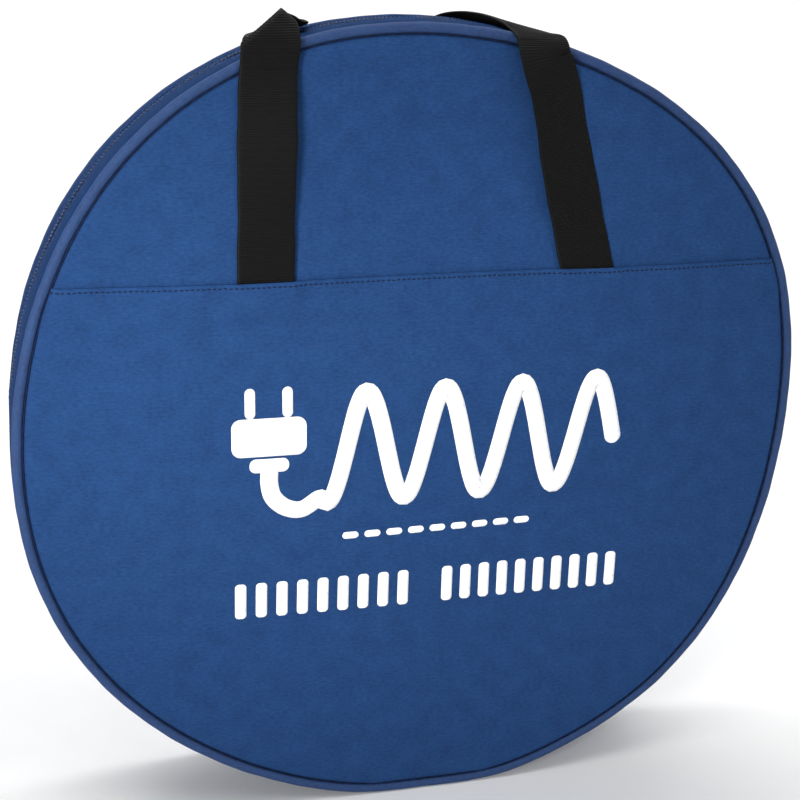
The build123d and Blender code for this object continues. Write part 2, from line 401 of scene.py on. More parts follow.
def add(mat, kind, settings=None, inputs=None):
    """Adds a node, sets its properties, and fills its inputs with values or other outputs."""
    made = mat.node_tree.nodes.new(kind)
    for key, value in (settings or {}).items():
        setattr(made, key, value)
    for key, value in (inputs or {}).items():
        if isinstance(value, bpy.types.NodeSocket):
            mat.node_tree.links.new(value, made.inputs[key])
        else:
            made.inputs[key].default_value = value
    return made


def new_finish(name, shader):
    """A material with its shader's constant values set on the sockets."""
    mat = bpy.data.materials.new(name)
    mat.use_nodes = True
    mat.node_tree.nodes.clear()
    surface = add(mat, "ShaderNodeBsdfPrincipled", inputs=shader)
    add(mat, "ShaderNodeOutputMaterial", inputs={"Surface": surface.outputs[0]})
    return mat, surface


def reckon(mat, operation, *values):
    """One step of arithmetic on numbers or other nodes' outputs."""
    return add(mat, "ShaderNodeMath", {"operation": operation}, dict(enumerate(values))).outputs[0]


def weave_place(mat):
    return add(mat, "ShaderNodeUVMap", {"uv_map": "weave"}).outputs[0]


def placed(mat, place, scale, turn=0.0):
    """A place in the pattern, turned and then scaled."""
    inputs = {0: place, "Rotation": (0, 0, turn), "Scale": scale}
    return add(mat, "ShaderNodeMapping", inputs=inputs).outputs[0]


def weave(mat, pitch, turn=0.0, stretch=(1.0, 1.0)):
    """Plain weave of a thread pitch in metres: its height, 0 to 1, and its place."""
    place = weave_place(mat)
    scaled = placed(mat, place, (stretch[0] / pitch, stretch[1] / pitch, 1), turn)
    axes = add(mat, "ShaderNodeSeparateXYZ", inputs={0: scaled})
    swings = [reckon(mat, "MULTIPLY", axes.outputs[i], pi) for i in (0, 1)]
    crests = [reckon(mat, "ABSOLUTE", reckon(mat, "SINE", swing)) for swing in swings]
    over = add(mat, "ShaderNodeTexChecker", inputs={0: scaled, "Scale": 1.0})
    inputs = {0: over.outputs["Fac"], 2: crests[0], 3: crests[1]}
    return add(mat, "ShaderNodeMix", {"data_type": "FLOAT"}, inputs).outputs[0], place


def mottle(mat, place, size, detail=2.0):
    """Soft blotches of a size in metres, 0 to 1."""
    inputs = {"Vector": place, "Scale": 1 / size, "Detail": detail}
    return add(mat, "ShaderNodeTexNoise", inputs=inputs).outputs["Fac"]


def between(mat, value, low, high, out_low, out_high):
    inputs = dict(enumerate((value, low, high, out_low, out_high)))
    return add(mat, "ShaderNodeMapRange", inputs=inputs).outputs[0]


def dye(mat, surface, share, low, high):
    """Colours the surface between two hex colours."""
    settings = {"data_type": "RGBA", "clamp_factor": True}
    mixed = add(mat, "ShaderNodeMix", settings, {0: share, 6: colour(low), 7: colour(high)})
    mat.node_tree.links.new(mixed.outputs[2], surface.inputs["Base Color"])


def roughen(mat, surface, value, low, high, rough_low, rough_high):
    rough = between(mat, value, low, high, rough_low, rough_high)
    mat.node_tree.links.new(rough, surface.inputs["Roughness"])


def bump(mat, surface, height, depth, strength):
    inputs = {"Height": height, "Distance": depth, "Strength": strength}
    raised = add(mat, "ShaderNodeBump", inputs=inputs)
    mat.node_tree.links.new(raised.outputs[0], surface.inputs["Normal"])


def polyester_canvas(name, turn=0.0, low="#1c3660", high="#274a7c", gloss=0.06):
    """Dull blue polyester canvas: a fine plain weave, slightly blotchy dye, and uneven threads.
    Real threads are 0.45 mm apart; they are drawn 0.9 mm apart so that the weave shows."""
    mat, surface = new_finish(name, {"Specular IOR Level": gloss, "IOR": 1.5})
    height, place = weave(mat, weave_pitch, turn)
    streak = mottle(mat, placed(mat, place, (420, 900, 1), turn), 1.0)
    # The weave's thread crests are painted a little lighter than its hollows: painted shade of the weave.
    tone = reckon(mat, "MULTIPLY_ADD", height, 0.22, 0.0)
    tone = reckon(mat, "MULTIPLY_ADD", mottle(mat, place, 11 * mm, 3.0), 0.45, tone)
    tone = reckon(mat, "MULTIPLY_ADD", streak, 0.75, tone)
    dye(mat, surface, between(mat, tone, 0.45, 1.05, 0.0, 1.0), low, high)
    roughen(mat, surface, height, 0.0, 1.0, 0.86, 0.72)
    bump(mat, surface, height, 0.10 * mm, 0.5)
    return mat


def coated_lining(name):
    """The canvas's inner side: a smooth grey-blue coat with the weave showing through."""
    mat, surface = new_finish(name, {"Specular IOR Level": 0.4, "IOR": 1.48})
    height, place = weave(mat, weave_pitch)
    share = mottle(mat, place, 14 * mm, 3.0)
    dye(mat, surface, share, "#131f36", "#1b2943")
    roughen(mat, surface, share, 0.3, 0.7, 0.42, 0.55)
    bump(mat, surface, height, 0.05 * mm, 0.4)
    return mat


def polypropylene_webbing(name):
    """Black webbing: matt ribs across it, painted lighter on their crests and darker between them as
    painted highlight and shade, with fine lengthwise floats that catch the light.
    """
    shader = {"Sheen Weight": 0.015, "Sheen Roughness": 0.4, "Specular IOR Level": 0.16, "IOR": 1.49}
    mat, surface = new_finish(name, shader)
    place = weave_place(mat)
    axes = add(mat, "ShaderNodeSeparateXYZ", inputs={0: place})
    rib = reckon(mat, "COSINE", reckon(mat, "MULTIPLY", axes.outputs[0], 2 * pi / rib_pitch))
    floats = mottle(mat, placed(mat, place, (950, 480, 1)), 1.0)
    # The rib crests are painted lighter and the hollows between ribs darker: painted highlight and shade of
    # the ribs.
    tone = reckon(mat, "MULTIPLY_ADD", rib, 0.45, floats)
    tone = reckon(mat, "MULTIPLY_ADD", mottle(mat, place, 6 * mm), 0.4, tone)
    dye(mat, surface, between(mat, tone, 0.25, 1.25, 0.0, 1.0), "#010101", "#0a0b0a")
    roughen(mat, surface, floats, 0.2, 0.8, 0.48, 0.72)
    bump(mat, surface, floats, 0.12 * mm, 0.6)
    return mat


def bound_tape(name, low, high, slant):
    """Woven polyester tape: fine slanted ribs, painted a little darker in the hollows as painted shade."""
    shader = {"Sheen Weight": 0.1, "Specular IOR Level": 0.3, "IOR": 1.5}
    mat, surface = new_finish(name, shader)
    height, place = weave(mat, 0.6 * mm, slant, (1.0, 0.5))
    share = between(mat, mottle(mat, place, 4 * mm), 0.3, 0.7, 0.0, 1.0)
    # The tape is painted darker in the weave's hollows and lighter on its ribs: painted shade of the weave.
    dye(mat, surface, reckon(mat, "MULTIPLY_ADD", height, 0.6, share), low, high)
    roughen(mat, surface, height, 0.0, 1.0, 0.85, 0.65)
    bump(mat, surface, height, 0.10 * mm, 0.6)
    return mat


def drawn_nylon(name):
    """The zip's coil: smooth dyed nylon wire with a soft shine. Its navy is painted darker than the real
    coil's, as painted shade of the zip's slot.
    """
    mat, surface = new_finish(name, {"Specular IOR Level": 0.2, "IOR": 1.53})
    cloud = mottle(mat, weave_place(mat), 3 * mm)
    # Navy coil, painted darker as painted shade of the slot between the gusset's flaps.
    dye(mat, surface, cloud, "#0a1730", "#122549")
    roughen(mat, surface, cloud, 0.3, 0.7, 0.28, 0.42)
    return mat


def lacquered_zinc(name):
    """Cast zinc under black lacquer: dark, with a low gloss and small handling marks."""
    mat, surface = new_finish(name, {"Metallic": 1.0, "Coat Weight": 0.35, "Coat Roughness": 0.2})
    place = add(mat, "ShaderNodeTexCoord").outputs["Object"]
    marks = mottle(mat, place, 1.5 * mm, 4.0)
    dye(mat, surface, marks, "#17181a", "#3a3c40")
    roughen(mat, surface, marks, 0.3, 0.75, 0.28, 0.5)
    bump(mat, surface, marks, 0.03 * mm, 0.4)
    return mat


def screen_ink(name):
    """White screen-print ink: flat and chalky, with the canvas's weave showing through."""
    mat, surface = new_finish(name, {"Specular IOR Level": 0.35, "IOR": 1.5})
    height, place = weave(mat, weave_pitch)
    thin = mottle(mat, place, 2.5 * mm, 3.0)
    worn = between(mat, thin, 0.25, 0.45, 0.0, 1.0)
    dye(mat, surface, worn, "#dfe4ee", "#fbfcfd")
    roughen(mat, surface, thin, 0.3, 0.7, 0.5, 0.65)
    bump(mat, surface, height, 0.05 * mm, 0.35)
    return mat


def spun_thread(name, low, high):
    """Polyester sewing thread: two twisted plies with a slight sheen."""
    shader = {"Sheen Weight": 0.03, "Specular IOR Level": 0.15, "IOR": 1.5}
    mat, surface = new_finish(name, shader)
    twist = placed(mat, weave_place(mat), (1500, 1500, 1), 0.8)
    axes = add(mat, "ShaderNodeSeparateXYZ", inputs={0: twist})
    ply = reckon(mat, "SINE", axes.outputs[0])
    share = between(mat, ply, -1.0, 1.0, 0.0, 1.0)
    dye(mat, surface, share, low, high)
    roughen(mat, surface, share, 0.0, 1.0, 0.7, 0.5)
    bump(mat, surface, ply, 0.05 * mm, 0.5)
    return mat


def studio_paper(name):
    """Matt white studio paper with a barely visible tooth."""
    mat, surface = new_finish(name, {"Specular IOR Level": 0.1, "Roughness": 0.9})
    place = add(mat, "ShaderNodeTexCoord").outputs["Object"]
    dye(mat, surface, mottle(mat, place, 40 * mm), "#f4f4f4", "#f8f8f8")
    return mat


canvas = polyester_canvas("blue_polyester_canvas")
bias_canvas = polyester_canvas("bias_cut_canvas", radians(45), "#18305a", "#244678", 0.45)
# The gusset's canvas is the panels' canvas painted darker: painted shade on the bag's rim.
gusset_canvas = polyester_canvas("gusset_canvas", 0.0, "#142b50", "#1d3b68", 0.02)
lining = coated_lining("coated_lining")
webbing = polypropylene_webbing("black_webbing")
binding_tape = bound_tape("binding_tape", "#091226", "#13213e", 0.0)
# The zip tape's navy is painted darker than the real tape's, as painted shade of the zip's slot.
zip_cloth = bound_tape("herringbone_zip_tape", "#0c1c3a", "#183054", radians(45))
nylon = drawn_nylon("nylon_coil")
zinc = lacquered_zinc("black_lacquered_zinc")
ink = screen_ink("white_print")
seam_thread = spun_thread("navy_thread", "#030816", "#0a1630")
zip_thread = spun_thread("blue_thread", "#142c55", "#27477a")
# A dark finish for the thin line laid in the groove beside each piping: painted shade, not a part of the
# bag.
groove_shade_finish = spun_thread("painted_groove_shade", "#06142f", "#0b2048")
cotton = spun_thread("cotton_cord", "#c9c6bb", "#e2dfd4")
paper = studio_paper("studio_paper")


# ---- camera, as the bag is seen from its front left and a little above
def place_camera():
    azimuth, elevation, roll = (radians(a) for a in (16.07, 18.95, 1.41))
    distance = 827.4 * mm
    focal_share = 2.1105          # focal length over sensor width
    right = Vector((cos(azimuth), -sin(azimuth), 0))
    ahead = Vector((sin(azimuth) * cos(elevation), cos(azimuth) * cos(elevation), -sin(elevation)))
    up = right.cross(ahead)
    rolled = (right * cos(roll) + up * sin(roll), up * cos(roll) - right * sin(roll), -ahead)
    data = bpy.data.cameras.new("camera")
    data.sensor_width = 36
    data.lens = focal_share * data.sensor_width
    data.shift_x = -0.0325
    data.shift_y = 0.045
    data.clip_start = 0.01
    camera = add_object("camera", data)
    turned = Matrix(rolled).transposed().to_4x4()
    turned.translation = Vector((0, front_y, centre_z)) - ahead * distance
    camera.matrix_world = turned
    bpy.context.scene.camera = camera


place_camera()


# ---- panels
def arc(from_turn, to_turn, count, back, crowd=0.0):
    turns = from_turn + (to_turn - from_turn) * spaced(count, crowd)
    places = outline(turns, panel_inset, plane_y(back))
    return places[:, [0, 2]]


def chord(height, back, count):
    ends = outline([turn_at(height, back, side) for side in (-1, 1)], panel_inset, plane_y(back))[:, [0, 2]]
    ends[:, 1] = height
    share = spaced(count, 0.55)[:, None]
    return ends[0] * (1 - share) + ends[1] * share


def flanks(low, high, count, back):
    """The left and right borders of a region, each from a low turn to a high one."""
    return [arc(start, end, count, back, 0.3) for start, end in zip(low, high)]


def cap_region(back, across=150, up=110):
    """The upper panel, down to the lower edge that lies hidden under the hem."""
    low, shoulder = seam_z - hem_lap, radians(146)
    feet = [turn_at(low, back, side) for side in (-1, 1)]
    top = arc(2 * pi - shoulder, shoulder, across, back, 0.3)
    return coons(chord(low, back, across), top, *flanks(feet, (-shoulder, shoulder), up, back))


def body_region(back, across=150, up=170):
    """The lower panel, up to its folded edge at the lapped seam."""
    corner = radians(44)
    top = chord(seam_z - canvas_t, back, across)
    ends = [turn_at(seam_z, back, side) for side in (-1, 1)]
    left, right = flanks((-corner, corner), ends, up, back)
    right[-1], left[-1] = top[-1], top[0]
    return coons(arc(-corner, corner, across, back, 0.3), top, left, right)


def raise_panel(flat, swell, back):
    """Lifts a flat region off its plane and gives it uv in metres."""
    out = swell(flat[..., 0], flat[..., 1])
    y = rear_y + out if back else front_y - out
    points, uv = np.stack([flat[..., 0], y, flat[..., 1]], axis=-1), flat + 0.5
    return (points[::-1], uv[::-1]) if back else (points, uv)


def folded_hem(points, uv, back):
    """Rolls the upper edge of a lower panel inwards and takes its inner layer down."""
    inward = -1 if back else 1
    edge, edge_uv = points[:, -1:], uv[:, -1:]
    rows, rows_uv = [points], [uv]
    for degrees in (30, 60, 90, 120, 150, 180):
        a = radians(degrees)
        shift = np.array([0, inward * canvas_t * (1 - cos(a)), canvas_t * sin(a)])
        rows.append(edge + shift)
        rows_uv.append(edge_uv + [0, a * canvas_t])
    for drop in (3, 6, 9):
        rows.append(edge + np.array([0, inward * 2 * canvas_t, -drop * mm]))
        rows_uv.append(edge_uv + [0, pi * canvas_t + drop * mm])
    return np.concatenate(rows, axis=1), np.concatenate(rows_uv, axis=1)


def make_panels():
    made = {}
    for back, side, swells in ((0, "front", (front_swell, front_lower_swell)),
                               (1, "rear", (rear_swell, rear_lower_swell))):
        flat = cap_region(back)
        points, uv = raise_panel(flat, swells[0], back)
        upper = make_piece(f"{side}_panel_upper", [quads(points, uv)], [canvas, lining], canvas_t * 2)
        settle(upper, "canvas", "bag" if back else "cover", f"{side}_upper_panel")
        made[side, "upper"] = (upper, flat, 0.0)

        flat = body_region(back)
        points, uv = folded_hem(*raise_panel(flat, swells[1], back), back)
        lower = make_piece(f"{side}_panel_lower", [quads(points, uv)], [canvas, lining], canvas_t)
        nodes = [f"{side}_lower_panel"] + ([] if back else ["front_panel_foot"])
        settle(lower, "canvas", "bag" if back else "cover fold", *nodes)
        made[side, "lower"] = (lower, flat, hem_lap)
    return made


panels = make_panels()


# ---- piping, binding and gusset
all_round = np.linspace(0, 2 * pi, 900, endpoint=False)


def mirrored_profile(profile):
    return [(inset, -depth) for inset, depth in reversed(profile)]


def seam_profile(rows, back):
    """A profile from mm, as inset and depth behind the front plane, or mirrored at the rear."""
    profile = [(inset * mm, front_y + depth * mm) for inset, depth in rows]
    return mirrored_profile(profile) if back else profile


def lumps(turns, inset, depth):
    """Small unevenness of the cord and its cover, in inset and in depth."""
    wave = 0.09 * mm * np.sin(turns * 31 + 1.2) + 0.05 * mm * np.sin(turns * 83 + inset * 900)
    return wave, 0.08 * mm * np.sin(turns * 41 + 0.5)


def make_piping(side, back):
    d = piping_d / mm
    middle = 0.46 * d           # the cord's middle, behind the front plane
    angles = np.linspace(0, 2 * pi, 16, endpoint=False)
    outer = [(d / 2 * (1 + sin(a)), middle + d / 2 * cos(a)) for a in angles]
    flange = [(d / 2, 1.7), (d + 9, 1.7), (d + 9, 2.3), (d / 2, 2.3)]
    tape = [(d + 1.6, 2.4), (d + 9.4, 2.4), (d + 9.9, 3.0), (d + 9.4, 4.2), (d + 1.6, 4.2)]
    outer, flange, tape = (seam_profile(rows, back) for rows in (outer, flange, tape))
    flange = rim_sheet(all_round[::2], flange, True, True)
    parts = [rim_sheet(all_round, outer, True, True, lumps), flange]
    cover = make_piece(f"{side}_piping", parts, [bias_canvas], weld=False, outward=True)
    turns = np.linspace(0, 2 * pi, 700, endpoint=False)
    strands = []
    for strand in range(3):
        phase = turns * 150 + strand * 2 * pi / 3
        depth = (front_y + (middle + 0.72 * np.cos(phase)) * mm) * (-1 if back else 1)
        path = outline(turns, piping_r + 0.72 * mm * np.sin(phase), depth)
        strands.append(tube(path, 0.66 * mm, closed=True))
    core = make_piece(f"{side}_piping_core", strands, [cotton], weld=False)
    parts = [rim_sheet(all_round[::2], tape, True, True)]
    binding = make_piece(f"{side}_binding", parts, [binding_tape], weld=False, outward=True)
    # A thin dark tube in the groove between panel and piping: painted shade of the groove, not a seam of
    # the bag.
    groove = outline(all_round, piping_d + 0.25 * mm, (front_y + 1.0 * mm) * (-1 if back else 1))
    parts = [tube(groove, 0.4 * mm, closed=True)]
    groove_shade_tube = make_piece(f"{side}_groove_painted_shade", parts, [groove_shade_finish], weld=False)
    named = (
        (cover, "piping", "piping_cover"), (core, "cord_core", "piping_cord"),
        (binding, "binding", "seam_binding"), (groove_shade_tube, "canvas", None),
    )
    for piece, slot, node in named:
        nodes = [f"{side}_{node}"] + ([] if back else [f"{side}_{node}_foot"])
        settle(piece, slot, "bag" if back else "cover fold", *(nodes if node else []))


make_piping("front", 0)
make_piping("rear", 1)


def puckers(turns, inset, depth):
    """The gusset's canvas draws in a little at each side and wanders at the zip."""
    wave = np.sin(turns * 19 + 3 * np.sin(turns * 4)) + 0.5 * np.sin(turns * 53)
    wave = 0.28 * mm * bell(np.abs(depth), slot_half, 9 * mm) * wave
    stray = 0.9 + np.sin(turns * 17 + 1.0) * np.sin(turns * 5)
    return wave, 0.5 * mm * bell(np.abs(depth), slot_half, 7 * mm) * stray * np.sign(depth)


def gusset_profile():
    """Front strip, from the folded edge at the zip out to the piping."""
    rolled = [(1.45, 12.0), (1.4, 8.0), (1.2, 5.6)]
    edge = [(0.95, 4.8), (0.5, 4.5), (-0.05, 4.5), (-0.5, 4.8)]
    face = [(-0.65, 5.6), (-0.3, 7.4), (-0.45, 9.0), (-0.6, 13.0), (-0.6, 18.0), (-0.4, 23.0), (0.0, 26.6)]
    tuck = [(0.5, 28.2), (1.7, 29.3), (3.2, 30.3), (5.0, 31.6), (7.0, 32.1), (9.0, 32.4)]
    return [(inset * mm, -depth * mm) for inset, depth in rolled + edge + face + tuck]


def make_gusset():
    start = turn_of(fold.z)
    turns = np.linspace(start, 2 * pi - start, 700)
    front = gusset_profile()
    strips = []
    halves = (("front", front, "cover fold"), ("rear", mirrored_profile(front), "bag"))
    for side, profile, body in halves:
        parts = [rim_sheet(turns, profile, wander=puckers)]
        strip = make_piece(f"{side}_gusset", parts, [gusset_canvas, lining], canvas_t)
        settle(strip, "canvas", body, f"{side}_gusset_strip")
        strips.append(strip)
    # the undivided base, with a slot at each end for the last of the zip
    half = [p for p in front if p[0] < 1.0 * mm and p[1] < -slot_half or p[1] < -27 * mm]
    half[0] = (0.0, -slot_half)
    between_slots = [(0.0, d * mm) for d in (3.0, 1.5, 0.0, -1.5, -3.0)]
    profile = mirrored_profile(half) + between_slots + half
    slot_turn = turn_of(slot_end_z)
    ends = np.linspace(slot_turn, start, 12)
    turns = np.concatenate([-ends[::-1], np.linspace(-slot_turn, slot_turn, 121)[1:-1], ends])
    verts, faces, loops = rim_sheet(turns, profile)
    middles = verts[faces].mean(axis=1)
    turn = np.abs(np.arctan2(middles[:, 0], centre_z - middles[:, 2]))
    keep = ~((np.abs(middles[:, 1]) < slot_half) & (turn > slot_turn))
    part = (verts, faces[keep], loops.reshape(-1, 4, 2)[keep].reshape(-1, 2))
    base = make_piece("base_gusset_canvas", [part], [gusset_canvas, lining], canvas_t)
    settle(base, "canvas", "bag", "base_gusset")
    return strips, base


gusset_strips, base_gusset = make_gusset()


# ---- zip
def make_zip():
    start = turn_of(slot_end_z)
    turns = np.linspace(start, 2 * pi - start, 520)
    first = turn_of(zip_end_z)
    head, heel = -0.35, coil_half / mm
    # one turn of the coil in depth and inset, from the heel over the top to the head and back
    turn_shape = [(heel, 0.9), (heel - 0.1, 0.0), (heel - 0.9, -0.35), (0.9, -0.4), (head + 0.2, -0.1),
                  (head, 0.55), (head + 0.3, 1.1), (heel - 0.8, 1.2)]
    length = (2 * pi - 2 * first) * bag_radius
    count = int(length / coil_pitch) - 1
    for side, sign, shift in (("front", -1, 0.0), ("rear", 1, 0.5)):
        tape = [(zip_tape_inset, sign * d * mm) for d in np.linspace(0.9, 15.6, 12)]
        cloth = make_piece(f"{side}_zip_cloth", [rim_sheet(turns, tape[::sign])], [zip_cloth], tape_t)
        shape = np.tile(turn_shape, (count, 1)) * mm
        along = (np.arange(len(shape)) / len(turn_shape) + shift) * coil_pitch
        path = outline(first + along / bag_radius, shape[:, 1], sign * shape[:, 0])
        wire = make_piece(f"{side}_coil", [tube(path, coil_wire_r)], [nylon], weld=False)
        for piece, slot in ((cloth, "zip_tape"), (wire, "zip_coil")):
            ends = [f"front_{slot}_ends"] if sign < 0 else []
            settle(piece, slot, "cover fold" if sign < 0 else "bag", f"{side}_{slot}", *ends)


make_zip()

for name in ("zip_slider_body", "zip_pull_tab", "zip_end_stops"):
    part = frame["nodes"][name]
    part.data.materials.clear()
    part.data.materials.append(zinc)
    edge = part.modifiers.new("cast_edges", "BEVEL")
    edge.width = 0.18 * mm
    edge.segments = 2
    edge.limit_method = "ANGLE"


# ---- stitches
def stitch(from_place, to_place, outward):
    """One visible stitch: it rises out of one needle hole and dives into the next."""
    start, end = np.asarray(from_place), np.asarray(to_place)
    rises = ((0.0, -0.35), (0.12, 0.08), (0.5, 0.22), (0.88, 0.08), (1.0, -0.35))
    return tube([start + (end - start) * t + outward * r * mm for t, r in rises], thread_r)


def seam_stitches(side, back, swell):
    left, right = chord(seam_z - stitch_inset, back, 2)[:, 0]
    draw = random.Random(3 + back)
    outward = np.array([0, 1.0 if back else -1.0, 0])
    stitches = []
    for i in range(int((right - left) / stitch_pitch)):
        ends = []
        for share in (0.2, 0.76):
            x = left + (i + share) * stitch_pitch
            z = seam_z - stitch_inset + draw.uniform(-0.12, 0.12) * mm
            ends.append((x, plane_y(back) + outward[1] * float(swell(np.array(x), np.array(z))), z))
        stitches.append(stitch(*ends, outward))
    piece = make_piece(f"{side}_seam_stitching", stitches, [seam_thread], weld=False)
    settle(piece, "canvas", "bag" if back else "cover")


def zip_stitches(side, sign):
    start = turn_of(fold.z) + 0.012
    count = int((2 * pi - 2 * start) * bag_radius / zip_stitch_pitch)
    depth = np.array(sign * 7.4 * mm)
    stitches = []
    for i in range(count):
        turns = start + (i + np.array([0.18, 0.82])) * zip_stitch_pitch / bag_radius
        shift_inset, shift_depth = puckers(turns, 0.0, depth)
        ends = outline(turns, shift_inset - 0.3 * mm, depth + shift_depth)
        stitches.append(stitch(*ends, np.array([sin(turns.mean()), 0, -cos(turns.mean())])))
    piece = make_piece(f"{side}_zip_stitching", stitches, [zip_thread], weld=False)
    settle(piece, "canvas", "cover fold" if sign < 0 else "bag")


seam_stitches("front", 0, front_lower_swell)
seam_stitches("rear", 1, rear_lower_swell)
zip_stitches("front", -1)
zip_stitches("rear", 1)


# ---- handles
half_web = 0.945 * web_w / mm / 2    # webbing narrows a little under pull


def web_section():
    """Half a webbing's section: across it, with how thick it is there and how much rib it has."""
    half = half_web * mm
    across = np.concatenate([[-half, -half + 0.35 * mm, -half + 1.1 * mm],
                             np.linspace(-half + 2.4 * mm, half - 2.4 * mm, 17),
                             [half - 1.1 * mm, half - 0.35 * mm, half]])
    thick = np.array([0.35, 0.8, 1.0, *([1.0] * 17), 1.0, 0.8, 0.35])
    return across, thick


def webbing_sheet(route, step=rib_pitch / 4):
    """The middle surface of webbing along a route of centre points and across headings."""
    line, along = smooth_line(route, step)
    centre, heading = line[:, :3], line[:, 3:]
    forward = unit(np.gradient(centre, axis=0))
    heading = unit(heading - forward * (heading * forward).sum(1, keepdims=True))
    across, _ = web_section()
    return centre[:, None] + heading[:, None] * across[None, :, None], along


def thicken(sheet, along):
    """Rows of points round the webbing, with its ribs and slightly uneven edges."""
    across, thick = web_section()
    lengthwise, sideways = np.gradient(sheet, axis=0), np.gradient(sheet, axis=1)
    normal = unit(np.cross(sideways, lengthwise))
    uneven = 0.20 * mm * np.sin(along / (9 * mm)) + 0.12 * mm * np.sin(along / (3.7 * mm) + 1)
    sheet = sheet + unit(sideways) * (uneven[:, None] * across[None] / across[-1])[..., None]
    rib = rib_rise * np.cos(along * 2 * pi / rib_pitch)
    half = (web_t / 2 - rib_rise) * thick[None] + rib[:, None] * (thick[None] > 0.9)
    outer, inner = sheet + normal * half[..., None], sheet - normal * half[..., None]
    points = np.concatenate([outer, inner[:, ::-1]], axis=1)
    v = np.concatenate([across, across[::-1] + 0.1, across[:1] + 0.2])
    return points, uv_grid(along, v)


def crease(u, w, depth, place, slope, radius, angle):
    """Bends a flat sheet backwards over a line through place, at a slope in its plane."""
    c, s = cos(slope), sin(slope)
    along = (u - place[0]) * c + (w - place[1]) * s
    past = -(u - place[0]) * s + (w - place[1]) * c
    turned = np.clip(past / radius, 0, angle)
    rest = np.maximum(past - radius * angle, 0)
    past = np.where(past < 0, past, radius * np.sin(turned) + rest * cos(angle))
    depth = depth + radius * (1 - np.cos(turned)) + rest * sin(angle)
    return place[0] + along * c - past * s, place[1] + along * s + past * c, depth


def left_strap(length, t):
    """The front handle's left side in mm: up the panel, then over a slanting crease at the top."""
    foot, top, low = strap_x / mm, left_top_x / mm, seam_z / mm - 9
    rim = rim_high.z / mm
    u, w, depth = crease(t, low + length, 0.0, (-half_web, rim - 12.9), radians(36), 1.3, 2.15)
    u, w, depth = crease(u, w, depth, (5.6, rim + 0.6), radians(-41), 2.4, pi / 2)
    x = u + np.interp(w, [low, rim - 30, rim - 12], [-foot, top - 0.9, top + 0.5])
    heights = np.linspace(low, rim - 22, 9)
    lies = [on_panel(top - 1, h, 0)[1] for h in heights]
    y = np.interp(w, [*heights, rim - 12, rim + 10], [*lies, -38.2, -38.2])
    from_left = u + half_web
    y = y + np.maximum(w - (rim - 13), 0) ** 2 / 55 + 0.14 * from_left * smooth(w, rim - 13, rim + 1)
    y = y - 0.16 * from_left * bell(w, rim - 48, 34)
    return np.stack([x, y + depth, w + 0 * x], axis=-1)


def on_panel(x, z, back, lift=0.0):
    """Where webbing lies on an upper panel, in mm. The front straps follow the panel under their
    middle, and the rear ones lie over its highest place."""
    swell, plane, out, reach = front_swell, front_y, -1, 0
    if back:
        swell, plane, out, reach = rear_swell, rear_y, 1, 0.45 * web_w
    places = x * mm + reach * np.array([-1, 0, 1])
    highest = float(swell(places, np.full(3, z * mm)).max())
    return (x, (plane + out * (highest + web_t / 2 + (0.25 + lift) * mm)) / mm, z)


def front_handle_route():
    """From behind the left crease, over the rim and behind the bag, and back over it to the right
    foot, in mm."""
    top = rim_high.z / mm
    left, right, foot = left_top_x / mm, right_top_x / mm, strap_x / mm
    low = seam_z / mm - 9
    lean = atan2(foot - right, top - low)
    slant = (-cos(lean), 0, -sin(lean))
    run = top - low
    return [
        (left + 10.5, -12, top - 8.4, 0.88, -0.30, 0.34),
        (left + 12.0, 0, top - 8.6, 0.93, -0.14, 0.30),
        (left + 12.5, 17, top - 9.6, 0.95, -0.03, 0.29),
        (left + 13.0, 30, top - 11.4, 0.95, 0, 0.28),
        (left + 14.0, 40.5, top - 19, 0.97, 0, 0.2),
        (left + 18, 46, top - 36, 0.92, 0, 0.38),
        (left + 28, 48, top - 59, 0.75, 0.35, 0.55),
        (left + 46, 50, top - 75, 0.45, 0.75, 0.5),
        (left + 68, 51, top - 81, 0, 0.9, 0.42),
        (right - 48, 50.5, top - 73, -0.45, 0.75, 0.5),
        (right - 37, 49, top - 55, -0.7, 0.35, 0.6),
        (right - 31, 46.5, top - 34, -0.8, 0.1, 0.55),
        (right - 28, 41, top - 18, -0.88, -0.1, 0.42),
        (right - 24.5, 31, top - 9.4, -0.88, -0.3, 0.32),
        (right - 18.5, 15, top - 5.6, -0.86, -0.38, 0.30),
        (right - 12.5, 0, top - 5.0, -0.88, -0.36, 0.29),
        (right - 8.0, -13, top - 5.5, -0.92, -0.30, 0.25),
        (right - 4.8, -25, top - 6.9, -0.93, -0.30, 0.18),
        (right - 2.6, -36.0, top - 9.4, -0.95, -0.22, 0.02),
        (right - 1.2, -41.6, top - 19, -0.95, -0.24, -0.10),
        (*on_panel(right + 4.5, low + 0.74 * run, 0, 3.2), -0.95, -0.2, -0.14),
        (*on_panel(right + 11.5, low + 0.53 * run, 0, 1.6), -0.965, -0.12, -0.16),
        (*on_panel(right + 20.2, low + 0.24 * run, 0, 0.4), *slant),
        (*on_panel(foot, low, 0), *slant),
    ]


